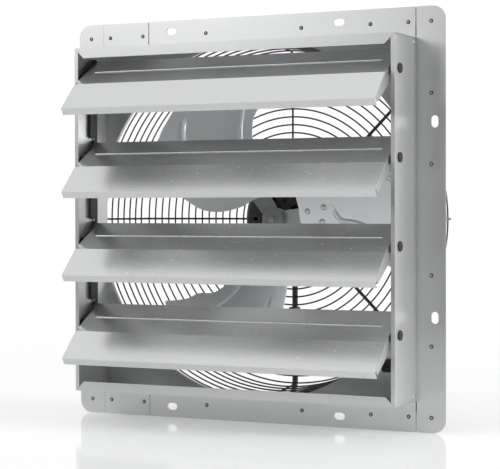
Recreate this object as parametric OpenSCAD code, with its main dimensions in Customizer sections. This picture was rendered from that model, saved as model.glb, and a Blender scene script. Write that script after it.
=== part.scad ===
// Square wall exhaust fan with a gravity shutter.
// In front of the flange stands a sheet metal box with four linked louvres. Behind it a wire guard
// carries the motor, whose shaft turns three sickle blades in the round opening of the fan panel.
// X runs right as seen from the shutter side, Y runs back to the motor, Z runs up.
// The origin is the middle of the flange's front face, the face that lies against the wall.

/* [Flange] */
// Width and height of the mounting flange
flange_w = 490; // [480:1:520]
// Radius of the flange's outer corners
flange_corner_r = 16; // [8:1:22]
// Thickness of the steel sheet
sheet = 1; // [0.8:0.1:1.2]
// Width of the flange around the box
rim_w = 35.5; // [33.5:0.1:38]
// From the flange's outer corner to the nearest slots, along a side
slot_in = 132.5; // [120:0.5:145]
// From the flange's outer edge to the middle of a slot
slot_edge = 13.3; // [12.5:0.1:13.5]
// Length of a mounting slot
slot_len = 14; // [11:0.5:16]
// Width of a mounting slot
slot_w = 8.5; // [6.5:0.1:8.6]
// From the flange's outer edge to the row of rivets
rivet_edge = 17.5; // [17:0.1:18]
// From the flange's outer corner to the rivets beside a side's middle
near_rivet_in = 181; // [160:1:200]
// From the flange's outer corner to the second rivets of the upright sides
side_rivet_in = 99.5; // [85:0.5:105]
// From the flange's outer corner to the second rivets of the level sides
top_rivet_in = 92.5; // [85:0.5:95]
// Length of the two splice plates at the left end of the level strips
splice_len = 64.5; // [62:0.5:66]

/* [Shutter box] */
// How far the box stands out in front of the flange
box_depth = 68.4; // [66:0.2:74]
// Height of the front lip at the top
lip_top = 12.5; // [6:0.5:16]
// Height of the front lip at the bottom
lip_bottom = 11.5; // [8:0.5:13]
// Width of the front lips at the sides
lip_side = 4.8; // [3:0.2:5.4]

/* [Louvres] */
// Thickness of the louvre sheet
louvre_t = 0.8; // [0.6:0.1:1.2]
// How far the louvres in the rest position are turned open from closed
open_angle = 45; // [30:1:60]
// From the box's upper face down to the first pivot
pivot_drop = 39; // [36:0.5:42]
// From the box's front down to the pivot line
pivot_back = 14.6; // [13.5:0.1:18]
// Height of the lower, upright facet of a closed louvre
facet_lower = 44; // [38:1:50]
// How far the upper facet leans back when the louvre is closed, in degrees
facet_lean = 13.6; // [10:0.2:16]
// Depth of the folded lip along a louvre's lower edge
fold_len = 9; // [6:0.5:10]
// How far each closed louvre laps over the next one
louvre_lap = 3.4; // [2:0.2:5]
// Room between a louvre's end and the side wall
louvre_end_gap = 5.9; // [5.8:0.1:6.6]
// Radius of the pivot pins
pivot_pin_r = 2.5; // [2:0.1:2.8]
// Radius of the pins that join the cranks to the tie bar
crank_pin_r = 2.2; // [1.6:0.1:2.4]
// Width of the tie bar between two louvres
bar_w = 16; // [12:0.5:17]

/* [Fan panel and guard] */
// From the flange's outer edge to the round opening in the fan panel
orifice_edge = 27; // [26:0.5:33]
// How far the panel's floor lies behind the flange's front face
floor_y = 6; // [4:0.5:8]
// From the flange's front face back to the guard's rear rings
guard_depth = 112; // [108:1:125]
// How much smaller the guard's outermost rear ring is than the round opening
guard_step = 9; // [6:0.5:12]
// Distance from one rear ring to the next
ring_pitch = 10; // [8:0.5:16]
// Distance from one side ring to the next
side_pitch = 12.4; // [10:0.2:12.6]
// Radius of the guard's ring wire
wire_r = 1; // [0.8:0.1:1.2]
// Radius of the four upright and level spokes
spoke_r = 1.25; // [1:0.05:1.5]
// Radius of the four diagonal arms that carry the motor
arm_r = 2; // [1.6:0.1:2.4]

/* [Fan wheel] */
// Room between the blade tips and the round opening's edge
tip_gap = 20; // [16:0.5:33]
// Middle of the blades behind the flange's front face
blade_y = 60; // [58:0.5:62]
// Blade pitch in degrees
blade_pitch = 20; // [14:1:21]
// Radius of the blades' hollow curve
camber_r = 260; // [220:5:400]
// Thickness of the blade sheet
blade_t = 1.2; // [1:0.1:1.6]
// How far the pressed bead stands up from a blade
blade_bead = 0.7; // [0.4:0.1:1]
// Radius of the motor shaft
shaft_r = 4; // [3:0.5:5]

/* [Motor] */
// Radius of the motor's two covers
motor_r = 48; // [46:0.5:48.5]
// Length of the front cover
motor_front_len = 36.5; // [34:0.5:38]
// Length of the rear cover
motor_rear_len = 24; // [22:0.5:30]

/* [Hidden] */
$fn = 48;

// Colours as seen
STEEL = [0.83, 0.84, 0.85];
LOUVRE = [0.74, 0.76, 0.78];
BARE = [0.62, 0.64, 0.66];
BLACK = [0.08, 0.08, 0.09];
MOTOR_GREY = [0.35, 0.36, 0.38];
COPPER = [0.72, 0.42, 0.22];

// Clearances and the overrun of every cut
over = 1;
quarter = 90;
seat_gap = 0.05;
run_gap = 0.05;
thin_seam = 0.3;
wide_seam = 1.2;

// Flange and box
flange_half = flange_w / 2;
box_half = flange_half - rim_w;
box_w = 2 * box_half;
inner_half = box_half - sheet;
slot_line = flange_half - slot_edge;
slot_off = flange_half - slot_in;
rivet_line = flange_half - rivet_edge;
rivet_near = flange_half - near_rivet_in;
side_rivet_far = flange_half - side_rivet_in;
top_rivet_far = flange_half - top_rivet_in;
lap_rivet_in = 10;
lap_rivet = box_half - lap_rivet_in;
SIDE_RIVETS = [for (s = [-1, 1]) each [s * rivet_near, s * side_rivet_far, s * rivet_line]];
LEVEL_RIVETS = [for (s = [-1, 1]) each [s * rivet_near, s * top_rivet_far, s * lap_rivet]];
rivet_r = 1.6;
rivet_head_r = 2.4;
rivet_sink = 0.7;
rivet_dish_r = 1.3;
rivet_dish = 0.35;
rivet_tail_r = 2.6;
rivet_tail = 1.1;
wall_end_y = floor_y - seat_gap;
tab_len = 7;
tab_h = 11;
tab_edge = 2.3;
wall_room = 5;
tab_front_y = -box_depth + sheet + thin_seam;
tab_rear_y = -wall_room - tab_len;
wall_rivet_drop = 5.5;
wall_rivet_r = 1.6;
wall_rivet_head_r = 2.3;
wall_rivet_head = 0.8;

// Louvre section, closed, seen along X: horizontal is Y and vertical is Z, with the pivot at zero
louvre_count = 4;
louvre_top_gap = 2.5;
louvre_tip_gap = 0.6;
flush_in = 0.7;
louvre_top = pivot_drop - sheet - louvre_top_gap;
louvre_pitch = (box_w - pivot_drop + louvre_top - louvre_lap - lip_bottom - louvre_tip_gap) / louvre_count;
louvre_half = inner_half - louvre_end_gap;
pivot_y = pivot_back - box_depth;
front_off = flush_in - pivot_back;
fold_drop_share = 0.2;
fold_drop = fold_len * fold_drop_share;
POINT_G = [front_off + sqrt(pow(fold_len, 2) - pow(fold_drop, 2)), louvre_top - louvre_pitch - louvre_lap];
POINT_E = [front_off, POINT_G[1] + fold_drop];
POINT_C = [front_off, POINT_E[1] + facet_lower];
POINT_A = [front_off + (louvre_top - POINT_C[1]) * tan(facet_lean), louvre_top];
LOUVRE_LINE = [POINT_A, POINT_C, POINT_E, POINT_G];
bead_r = 1.1;
bead_end = 14;
ear_r = 6.5;
end_plate_top = 2.2;
end_plate_low = 8;
end_plate_stop_share = 0.93;
function pivot_z(i) = box_half - pivot_drop - (i - 1) * louvre_pitch;

// Pivot pins and their bushes
pin_head_r = 4;
pin_head = 1.2;
pin_past_wall = 0.6;
bush_collar_r = 7.5;
bush_cap_r = 5.9;
bush_cap = 1.9;
bush_neck_r = 4.6;
left_collar = 1.1;
right_collar_gap = 0.8;
bush_bore_r = pivot_pin_r + run_gap;
bush_round = 0.8;

// Cranks and tie bar, outward from the louvre's left end
crank_t = 2;
link_gap = 0.25;
bar_t = 2;
clip_t = 0.8;
pin_past_clip = 0.25;
crank_hub_r = 8;
crank_end_r = 4.2;
crank_top_gap = 0.8;
crank_len = pivot_drop - sheet - crank_end_r - crank_top_gap;
crank_shoulder_r = 3.4;
stud_r = 1.5;
stud_head_r = 2.5;
stud_head = 0.8;
stud_up_share = 0.48;
clip_r = 3.3;
crank_x = louvre_half + crank_t;
bar_x0 = crank_x + link_gap;
clip_x = bar_x0 + bar_t + link_gap;
notch_gap = 0.7;
bar_web_y = pivot_pin_r + notch_gap;
bar_back = 6.8;
bar_neck_up = 7;
bar_neck_down = crank_len + pivot_pin_r + notch_gap + ear_r / 2;
bar_chamfer = 2.5;
bar_pin_y = pivot_y + crank_len * sin(open_angle);
function bar_pin_z(i) = pivot_z(i) + crank_len * cos(open_angle);

// Fan panel
orifice_r = flange_half - orifice_edge;
pan_half = orifice_r + sheet + 3 * sheet;
pan_corner_r = 14;
rim_inset = 1;
floor_back = floor_y + sheet;
orifice_lip = 4;

// Guard, seen in a half section: first number outward from the fan's axis, second one along Y
// The wires touch where they are welded
base_wire_r = 1.5;
weld_gap = 0.04;
guard_back_r = orifice_r - guard_step;
base_y = floor_back + base_wire_r + seat_gap;
base_r = orifice_r + sheet + 2 * base_wire_r + 2 * run_gap - wire_r;
taper = atan((base_r - guard_back_r) / (guard_depth - base_y));
side_ring_count = floor((guard_depth - base_y - side_pitch) / side_pitch);
centre_ring_r = 63.5;
ring_drop = 1;
back_rings = floor((guard_back_r - centre_ring_r) / ring_pitch - 0.4);
elbow_r = 6;
function side_r(y) = base_r - (y - base_y) * tan(taper);
function wire_off(w) = wire_r + w + weld_gap;

// Eyes at both ends of the arms: the inner ones carry the motor bracket, the outer ones hold the guard
eye_at = 57;
eye_screw_r = 2;
eye_slack = 0.2;
eye_r = eye_screw_r + arm_r + eye_slack;
eye_y = guard_depth + wire_off(arm_r);
eye_head_r = eye_r + arm_r / 2;
foot_at = base_r + wire_off(arm_r) + eye_r;
foot_y = floor_back + arm_r + seat_gap;
foot_gap = 1.5;
foot_shift = arm_r + eye_head_r + foot_gap;
foot_bite = 0.5;
foot_run = foot_shift - sqrt(pow(eye_r, 2) - pow(eye_r - foot_bite, 2));
joint_swell = 0.05;
elbow_swell = 0.03;
elbow_lap = 0.4;
foot_screw_past = 3;
bracket_t = 2;
bracket_y = eye_y - arm_r - seat_gap - bracket_t;
bracket_in_r = motor_r - 1.8;
bracket_out_r = 56;
bracket_ear_r = 4.8;
screw_head_r = 3.8;
screw_head = 2.4;
nut_r = 4;
nut_t = 3.2;
nut_sides = 6;
recess_share = 0.6;

// Motor
cover_t = 2;
cover_round = 7;
motor_front_y = bracket_y - motor_front_len;
motor_rear_y = bracket_y + bracket_t + motor_rear_len;
bolt_circle_r = 52;
bolt_angle = 20;
bolt_r = 2;
lug_r = 5;
rim_r = motor_r + 1.5;
bearing_r = 11;
bearing_w = 7;
boss_wall = 2.2;
boss_out = 3.5;
shaft_hole_gap = 1;
stack_len = 24;
stack_back = 3;
stack_y = bracket_y + bracket_t + stack_back - stack_len;
stator_gap = 0.1;
stator_r = motor_r - cover_t - stator_gap;
rotor_r = 24.9;
air_gap = 0.6;
stator_slots = 12;
slot_at = 34;
slot_hole_r = 4;
slot_mouth = 2.4;
coil_r = 5;
coil_gap = 0.3;
vent_count = 10;
vent_w = 4;
vent_in_r = 20;
vent_out_r = 36;

// Fan wheel
tip_r = orifice_r - tip_gap;
blade_count = 3;
blade_angle = 5;
hub_r = 14;
hub_len = 17;
hub_y = blade_y - hub_len / 2 + 1;
hub_round = 2;
shaft_tip = 3;
hub_arm_t = 2;
hub_screw_r = 2.5;
blade_rivet_r = 2;
blade_rivet_head_r = 4;
blade_rivet_head = 1.4;
blade_rivet_tail_r = 3.2;
lap_gap = 0.02;
// Outline of a blade, counterclockwise: share of the tip radius, and degrees from the blade's own line
BLADE_SHARES = [[0.19, -17], [0.35, -15], [0.515, -15.5], [0.655, -19.2], [0.75, -25.3], [0.84, -27.2],
    [0.94, -30.6], [0.985, -32], [1, -29], [1, -20], [1, -10], [0.997, 0], [0.98, 7], [0.947, 13.2],
    [0.88, 21.6], [0.69, 34.5], [0.48, 44.8], [0.353, 47.7], [0.236, 38], [0.19, 18]];
// Outline of a hub arm in the same way
ARM_SHARES = [[0.06, -40], [0.19, -14], [0.3, -11.5], [0.4, -10.5], [0.42, -7], [0.42, 2], [0.415, 8],
    [0.38, 12], [0.3, 13], [0.19, 16], [0.06, 40]];
// Rivets of a blade in the same way
RIVET_SHARES = [[0.235, 6.5], [0.32, -8], [0.35, 7]];
// Outline of the bead along the hub arm's end and a blade's leading edge
BEAD_SHARES = [[0.398, 6], [0.412, 0], [0.426, -6.5], [0.475, -8.5], [0.56, -9.3], [0.69, -13],
    [0.81, -18.3], [0.822, -17.6], [0.7, -11.7], [0.57, -7.9], [0.487, -7], [0.45, -4.5],
    [0.43, 0], [0.414, 6.4]];
outline_steps = 5;

// Cable gland and motor lead
gland_out = 23.5;
gland_angle = -44.75;
gland_rho = orifice_r + gland_out;
gland_x = gland_rho * cos(gland_angle);
gland_z = gland_rho * sin(gland_angle);
gland_r = 6.4;
gland_hex_r = 9;
gland_body = 6;
gland_dome = 9;
gland_dome_r = 7.6;
gland_nut_t = 4.6;
gland_nut_r = 8.8;
lead_r = 3.5;
lead_gap = 1;
lead_elbow = 6 * lead_r;
lead_y = guard_depth + wire_off(spoke_r) + spoke_r + lead_r + lead_gap;
lead_start = motor_r - cover_t + stator_gap;
lead_arc_y = floor_back + gland_body + gland_dome + lead_elbow + lead_gap;
lead_rho = side_r(lead_arc_y) + wire_off(spoke_r) + spoke_r + lead_r + lead_gap;
lead_angle = asin(lead_elbow / lead_rho);
lead_arc_r = sqrt(pow(lead_rho, 2) - pow(lead_elbow, 2));
lead_leave = gland_angle - acos(lead_arc_r / gland_rho);
lead_straight = sqrt(pow(gland_rho, 2) - pow(lead_arc_r, 2)) - lead_elbow;
lead_lap_angle = asin(elbow_lap / lead_arc_r);
lead_front_y = floor_y - gland_nut_t;
tie_w = 4;
tie_t = 1.2;
TIE_SHARES = [0.35, 0.7];
side_tie_angle = -76;
side_tie_ring = base_y + round((lead_arc_y - base_y) / side_pitch) * side_pitch;

// Points of an open line moved to its left by t, with true mitres, and the closed band between the two
function unit(v) = v / norm(v);
function left_of(v) = [-v[1], v[0]];
function moved(p, i, t) =
    let (a = left_of(unit(p[max(i, 1)] - p[max(i, 1) - 1])),
         b = left_of(unit(p[min(i + 1, len(p) - 1)] - p[min(i + 1, len(p) - 1) - 1])))
    p[i] + t * (a + b) / (1 + a * b);
function band(p, t) = concat(p, [for (i = [len(p) - 1:-1:0]) moved(p, i, t)]);

// A closed smooth curve through points given as shares of a radius and degrees
function polar(s, r) = [s[0] * r * cos(s[1]), s[0] * r * sin(s[1])];
function smooth(p0, p1, p2, p3, t) =
    0.5 * (2 * p1 + (p2 - p0) * t + (2 * p0 - 5 * p1 + 4 * p2 - p3) * pow(t, 2)
    + (3 * p1 - p0 - 3 * p2 + p3) * pow(t, 3));
function outline(shares, r) =
    let (n = len(shares), q = [for (s = shares) polar(s, r)])
    [for (i = [0:n - 1], k = [0:outline_steps - 1])
        smooth(q[(i + n - 1) % n], q[i], q[(i + 1) % n], q[(i + 2) % n], k / outline_steps)];

// A drawing in X and Z as a sheet that starts at y, and a drawing in Y and Z as a bar that starts at x
module sheet_y(y, t) translate([0, y + t, 0]) rotate([90, 0, 0]) linear_extrude(t) children();
module bar_x(x, l) translate([x, 0, 0]) rotate([90, 0, 90]) linear_extrude(l) children();
// A turned piece on an axis along Y that starts at y, and one on an axis along X
module turned_y(y) translate([0, y, 0]) rotate([-90, 0, 0]) children();
module turned_x(x) translate([x, 0, 0]) rotate([0, 90, 0]) children();
// Places something at an angle round the fan's axis
module around(a) rotate([0, -a, 0]) children();

module rounded(w, r) {
    square([w - 2 * r, w], center = true);
    square([w, w - 2 * r], center = true);
    for (sx = [-1, 1], sz = [-1, 1])
        translate([sx * (w / 2 - r), sz * (w / 2 - r)])
            circle(r);
}

module slot(l, w) {
    square([l - w, w], center = true);
    for (s = [-1, 1])
        translate([s * (l - w) / 2, 0])
            circle(w / 2);
}

// Flange

module slots_2d() {
    for (s = [-1, 1], t = [-1, 1]) {
        translate([s * slot_off, t * slot_line])
            slot(slot_len, slot_w);
        translate([t * slot_line, s * slot_off])
            rotate(90)
                slot(slot_len, slot_w);
    }
}

module at_rivets() {
    for (s = [-1, 1], a = SIDE_RIVETS)
        translate([s * rivet_line, 0, a])
            children();
    for (s = [-1, 1], a = LEVEL_RIVETS)
        translate([a, 0, s * rivet_line])
            children();
}

module rivet_holes() {
    at_rivets()
        turned_y(-over) {
            cylinder(r = rivet_r + seat_gap, h = 2 * sheet + 2 * over);
            translate([0, 0, over])
                cylinder(r1 = rivet_head_r + seat_gap, r2 = rivet_r + seat_gap, h = rivet_sink);
            cylinder(r = rivet_head_r + seat_gap, h = over);
        }
}

module flange_strip(x0, z0, w, h) {
    difference() {
        sheet_y(0, sheet)
            difference() {
                intersection() {
                    rounded(flange_w, flange_corner_r);
                    translate([x0, z0])
                        square([w, h]);
                }
                slots_2d();
            }
        rivet_holes();
    }
}

module flange_side() {
    flange_strip(box_half, -flange_half, flange_half - box_half, flange_w);
    translate([box_half, 0, -box_half])
        cube([sheet, wall_end_y, box_w]);
}

module flange_level() {
    x0 = -box_half + thin_seam + splice_len + wide_seam;
    w = box_half - wide_seam - x0;
    flange_strip(x0, box_half, w, flange_half - box_half);
    translate([x0, 0, box_half])
        cube([w, wall_end_y, sheet]);
}

module flange_right() color(STEEL) flange_side();
module flange_left() color(STEEL) mirror([1, 0, 0]) flange_side();
module flange_top() color(STEEL) flange_level();
module flange_bottom() color(STEEL) mirror([0, 0, 1]) flange_level();

module splice_plates() {
    color(STEEL)
        for (s = [0, 1])
            mirror([0, 0, s])
                flange_strip(-box_half + thin_seam, box_half, splice_len, flange_half - box_half);
}

module flange_rivets() {
    color(BARE)
        at_rivets()
            turned_y(0)
                rotate_extrude()
                    polygon([[0, rivet_dish], [rivet_dish_r, 0], [rivet_head_r, 0], [rivet_r, rivet_sink],
                        [rivet_r, 2 * sheet], [rivet_tail_r, 2 * sheet],
                        [rivet_tail_r - rivet_tail / 2, 2 * sheet + rivet_tail],
                        [0, 2 * sheet + rivet_tail]]);
}

// Shutter box

module at_wall_rivets() {
    for (s = [0, 1], y = [tab_front_y, tab_rear_y])
        mirror([0, 0, s])
            translate([0, y + tab_len - tab_edge, box_half - wall_rivet_drop])
                children();
}

module side_wall() {
    difference() {
        union() {
            translate([inner_half, -box_depth, -inner_half + thin_seam])
                cube([sheet, box_depth + wall_end_y, 2 * (inner_half - thin_seam)]);
            sheet_y(-box_depth, sheet)
                polygon([[box_half, thin_seam - inner_half], [box_half, inner_half - thin_seam],
                    [inner_half, inner_half - thin_seam],
                    [box_half - lip_side, box_half - lip_side - thin_seam],
                    [box_half - lip_side, lip_side + thin_seam - box_half],
                    [inner_half, thin_seam - inner_half]]);
        }
        for (i = [1:louvre_count])
            translate([0, pivot_y, pivot_z(i)])
                turned_x(inner_half - over)
                    cylinder(r = bush_neck_r + seat_gap, h = sheet + 2 * over);
        at_wall_rivets()
            turned_x(inner_half - over)
                cylinder(r = wall_rivet_r + seat_gap, h = sheet + 2 * over);
    }
}

module level_wall(lip) {
    difference() {
        union() {
            translate([-box_half, -box_depth, inner_half])
                cube([box_w, box_depth + wall_end_y, sheet]);
            sheet_y(-box_depth, sheet)
                polygon([[-box_half, box_half], [box_half, box_half],
                    [box_half - lip, box_half - lip], [lip - box_half, box_half - lip]]);
            for (s = [0, 1], y = [tab_front_y, tab_rear_y])
                mirror([s, 0, 0])
                    translate([inner_half - sheet - seat_gap, y, inner_half - tab_h])
                        cube([sheet, tab_len, tab_h + sheet / 2]);
        }
        for (s = [0, 1])
            mirror([s, 0, 0])
                at_wall_rivets()
                    turned_x(inner_half - sheet - over)
                        cylinder(r = wall_rivet_r + seat_gap, h = 2 * sheet + over);
    }
}

module right_wall() color(STEEL) side_wall();
module left_wall() color(STEEL) mirror([1, 0, 0]) side_wall();
module top_wall() color(STEEL) level_wall(lip_top);
module bottom_wall() color(STEEL) mirror([0, 0, 1]) level_wall(lip_bottom);

module wall_rivets() {
    color(BARE)
        for (s = [0, 1])
            mirror([s, 0, 0])
                at_wall_rivets()
                    turned_x(inner_half - sheet)
                        rotate_extrude()
                            polygon([[0, 0], [wall_rivet_r, 0], [wall_rivet_r, 2 * sheet],
                                [wall_rivet_head_r, 2 * sheet],
                                [wall_rivet_r, 2 * sheet + wall_rivet_head],
                                [0, 2 * sheet + wall_rivet_head]]);
}

// Fan panel with its round opening

module fan_panel() {
    color(STEEL)
        difference() {
            union() {
                sheet_y(sheet, sheet)
                    rounded(flange_w - 2 * rim_inset, flange_corner_r - rim_inset);
                sheet_y(sheet, floor_y)
                    rounded(2 * (pan_half + sheet), pan_corner_r + sheet);
                sheet_y(floor_y, sheet + orifice_lip)
                    circle(orifice_r + sheet);
            }
            sheet_y(-over, floor_y + over)
                rounded(2 * pan_half, pan_corner_r);
            sheet_y(0, floor_back + orifice_lip + over)
                circle(orifice_r);
            sheet_y(0, 2 * sheet + over)
                slots_2d();
            rivet_holes();
            translate([gland_x, 0, gland_z])
                turned_y(0)
                    cylinder(r = gland_r + seat_gap, h = floor_back + over);
            at_feet()
                turned_y(0)
                    cylinder(r = eye_screw_r + seat_gap, h = floor_back + over);
        }
}

// Pivot bushes: neck in the wall, collar inside, cap outside, blind bore

module bush(collar) {
    turned_x(inner_half - collar)
        rotate_extrude()
            difference() {
                union() {
                    square([bush_collar_r, collar]);
                    square([bush_neck_r, collar + sheet + bush_cap]);
                    translate([0, collar + sheet])
                        square([bush_cap_r, bush_cap - bush_round]);
                    translate([0, collar + sheet])
                        square([bush_cap_r - bush_round, bush_cap]);
                    translate([bush_cap_r - bush_round, collar + sheet + bush_cap - bush_round])
                        circle(bush_round);
                }
                translate([0, -over])
                    square([bush_bore_r, over + collar + sheet + pin_past_wall + link_gap]);
                translate([-over, -over])
                    square([over, 3 * over + collar + bush_cap + sheet]);
            }
}

module left_bushes() {
    color(BLACK)
        mirror([1, 0, 0])
            for (i = [1:louvre_count])
                translate([0, pivot_y, pivot_z(i)])
                    bush(left_collar);
}

module right_bushes() {
    color(BLACK)
        for (i = [1:louvre_count])
            translate([0, pivot_y, pivot_z(i)])
                bush(louvre_end_gap - right_collar_gap);
}

// Louvres, drawn closed about the pivot and turned open

module at_louvre(i) translate([0, pivot_y, pivot_z(i)]) rotate([-open_angle, 0, 0]) children();

module end_plate_2d() {
    stop = POINT_C + (POINT_E - POINT_C) * end_plate_stop_share;
    difference() {
        union() {
            polygon([POINT_A, POINT_C, stop, stop + [end_plate_low, 0], [ear_r, -ear_r],
                [ear_r, ear_r / 2], POINT_A + [end_plate_top, 0]]);
            circle(ear_r);
        }
        circle(pivot_pin_r + seat_gap);
    }
}

module louvre() {
    middle = (POINT_A + POINT_C) / 2;
    difference() {
        union() {
            bar_x(-louvre_half, 2 * louvre_half)
                polygon(band(LOUVRE_LINE, louvre_t));
            for (s = [0, 1])
                mirror([s, 0, 0])
                    bar_x(louvre_half - louvre_t, louvre_t)
                        end_plate_2d();
            translate([0, middle[0], middle[1]]) {
                turned_x(bead_end - louvre_half)
                    cylinder(r = bead_r, h = 2 * (louvre_half - bead_end));
                for (s = [-1, 1])
                    translate([s * (louvre_half - bead_end), 0, 0])
                        sphere(bead_r);
            }
        }
        translate([0, 0, crank_len * stud_up_share])
            turned_x(-louvre_half - over)
                cylinder(r = stud_r + seat_gap, h = louvre_t + 2 * over);
    }
}

module louvre_1() color(LOUVRE) at_louvre(1) louvre();
module louvre_2() color(LOUVRE) at_louvre(2) louvre();
module louvre_3() color(LOUVRE) at_louvre(3) louvre();
module louvre_4() color(LOUVRE) at_louvre(4) louvre();

module pivot_pins() {
    tip = box_half + pin_past_wall;
    start = louvre_half - louvre_t - pin_head;
    for (s = [0, 1])
        mirror([s, 0, 0])
            turned_x(start) {
                cylinder(r = pin_head_r, h = pin_head);
                cylinder(r = pivot_pin_r, h = tip - start);
            }
}

module pivot_pins_1() color(BARE) at_louvre(1) pivot_pins();
module pivot_pins_2() color(BARE) at_louvre(2) pivot_pins();
module pivot_pins_3() color(BARE) at_louvre(3) pivot_pins();
module pivot_pins_4() color(BARE) at_louvre(4) pivot_pins();

// Crank on the louvre's left end, with the stud that locks it and the pin for the tie bar
module crank() {
    difference() {
        bar_x(-crank_x, crank_t) {
            circle(crank_hub_r);
            translate([0, crank_len])
                circle(crank_end_r);
            polygon([[-crank_hub_r, 0], [crank_hub_r, 0],
                [crank_end_r, crank_len], [-crank_end_r, crank_len]]);
        }
        turned_x(-crank_x - over)
            cylinder(r = pivot_pin_r + seat_gap, h = crank_t + 2 * over);
    }
    translate([0, 0, crank_len]) {
        turned_x(-clip_x - clip_t - pin_past_clip)
            cylinder(r = crank_pin_r, h = clip_x + clip_t + pin_past_clip - louvre_half);
        turned_x(-bar_x0)
            cylinder(r = crank_shoulder_r, h = link_gap + crank_t);
    }
    translate([0, 0, crank_len * stud_up_share]) {
        turned_x(-crank_x)
            cylinder(r = stud_r, h = crank_t + louvre_t + seat_gap + stud_head);
        turned_x(-louvre_half + louvre_t + seat_gap)
            cylinder(r = stud_head_r, h = stud_head);
    }
}

module crank_1() color(BLACK) at_louvre(1) crank();
module crank_2() color(BLACK) at_louvre(2) crank();
module crank_3() color(BLACK) at_louvre(3) crank();
module crank_4() color(BLACK) at_louvre(4) crank();

module bar_clip() {
    translate([0, 0, crank_len])
        turned_x(-clip_x - clip_t)
            difference() {
                cylinder(r = clip_r, h = clip_t);
                translate([0, 0, -over])
                    cylinder(r = crank_pin_r + seat_gap / 2, h = clip_t + 2 * over);
            }
}

module bar_clip_1() color(BARE) at_louvre(1) bar_clip();
module bar_clip_2() color(BARE) at_louvre(2) bar_clip();
module bar_clip_3() color(BARE) at_louvre(3) bar_clip();
module bar_clip_4() color(BARE) at_louvre(4) bar_clip();

// Tie bar: wide between the louvres and cut back to a web where it swings past the pivot pins
module tie_bar() {
    front = bar_back - bar_w;
    top = bar_neck_up - louvre_pitch;
    color(BLACK)
        translate([0, bar_pin_y, bar_pin_z(1)])
            bar_x(-bar_x0 - bar_t, bar_t)
                difference() {
                    union() {
                        translate([bar_web_y, -(louvre_count - 1) * louvre_pitch])
                            square([bar_back - bar_web_y, (louvre_count - 1) * louvre_pitch]);
                        for (i = [0:louvre_count - 1])
                            translate([0, -i * louvre_pitch]) {
                                circle(crank_end_r);
                                if (i < louvre_count - 1)
                                    polygon([[bar_back, -bar_neck_down], [bar_web_y, -bar_neck_down],
                                        [front + bar_chamfer, -bar_neck_down],
                                        [front, -bar_neck_down - bar_chamfer],
                                        [front, top + bar_chamfer], [front + bar_chamfer, top],
                                        [bar_web_y, top], [bar_back, top]]);
                            }
                    }
                    for (i = [0:louvre_count - 1])
                        translate([0, -i * louvre_pitch])
                            circle(crank_pin_r + run_gap);
                }
}

// Guard

module torus(r, w) rotate_extrude() translate([r, 0]) circle(w);
module guard_ring(r, y, w) turned_y(y) torus(r, w);

// One rod from the base ring along the guard's side, round its edge and inward to the radius to_r
module guard_rod(w, to_r) {
    off = wire_off(w);
    cy = guard_depth + off - elbow_r;
    run = (cy - base_y - (off - elbow_r) * sin(taper)) / cos(taper);
    cr = base_r + (off - elbow_r) * cos(taper) - run * sin(taper);
    translate([cr, cy, 0])
        rotate([0, 0, taper]) {
            rotate_extrude(angle = 90 - taper)
                translate([elbow_r, 0])
                    circle(w + elbow_swell);
            translate([elbow_r, elbow_lap, 0])
                rotate([90, 0, 0])
                    cylinder(r = w, h = run + elbow_lap);
        }
    translate([to_r, guard_depth + off, 0])
        rotate([0, 90, 0])
            cylinder(r = w, h = cr + elbow_lap - to_r);
}

module side_rings() {
    color(BLACK) {
        guard_ring(base_r + wire_r - base_wire_r, base_y, base_wire_r);
        for (k = [1:side_ring_count])
            guard_ring(side_r(base_y + k * side_pitch), base_y + k * side_pitch, wire_r);
    }
}

module rear_rings() {
    color(BLACK) {
        guard_ring(guard_back_r - ring_drop, guard_depth - ring_drop, wire_r);
        for (k = [1:back_rings])
            guard_ring(guard_back_r - k * ring_pitch, guard_depth, wire_r);
        guard_ring(centre_ring_r, guard_depth, wire_r);
    }
}

module guard_spokes() {
    color(BLACK)
        for (a = [0:90:270])
            around(a)
                guard_rod(spoke_r, centre_ring_r - 2 * wire_r);
}

// Each arm ends in an eye at the motor, and turns sideways into another one on the fan panel
module guard_arms() {
    color(BLACK)
        for (a = [45:90:315])
            around(a) {
                guard_rod(arm_r, eye_at + eye_r);
                translate([eye_at, 0, 0])
                    guard_ring(eye_r, eye_y, arm_r);
                translate([foot_at - eye_r + foot_bite, foot_y, 0]) {
                    sphere(arm_r + joint_swell);
                    translate([0, 0, -foot_run])
                        cylinder(r = arm_r, h = foot_run);
                }
                translate([foot_at, 0, -foot_shift])
                    guard_ring(eye_r, foot_y, arm_r);
            }
}

module at_feet() {
    for (a = [45:90:315])
        around(a)
            translate([foot_at, 0, -foot_shift])
                children();
}

// Screw with a cross recess, on an axis along Y: the head's underside is at y, the shank runs forward
module screw_y(y, r, l, head_r, head) {
    arm = head_r * recess_share;
    turned_y(y)
        difference() {
            rotate_extrude() {
                translate([0, -l])
                    square([r, l]);
                polygon([[0, 0], [head_r, 0], [head_r, head / 2], [head_r - head / 2, head], [0, head]]);
            }
            for (a = [0, quarter])
                rotate(a)
                    translate([-arm, -arm / 4, head / 2])
                        cube([2 * arm, arm / 2, head]);
        }
}

module guard_screws() {
    color(BARE)
        at_feet()
            screw_y(foot_y + arm_r + seat_gap, eye_screw_r,
                2 * (arm_r + seat_gap) + sheet + foot_screw_past, eye_head_r, screw_head);
}

// Motor bracket: a ring with four ears behind which the diagonal arms end in eyes

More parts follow.
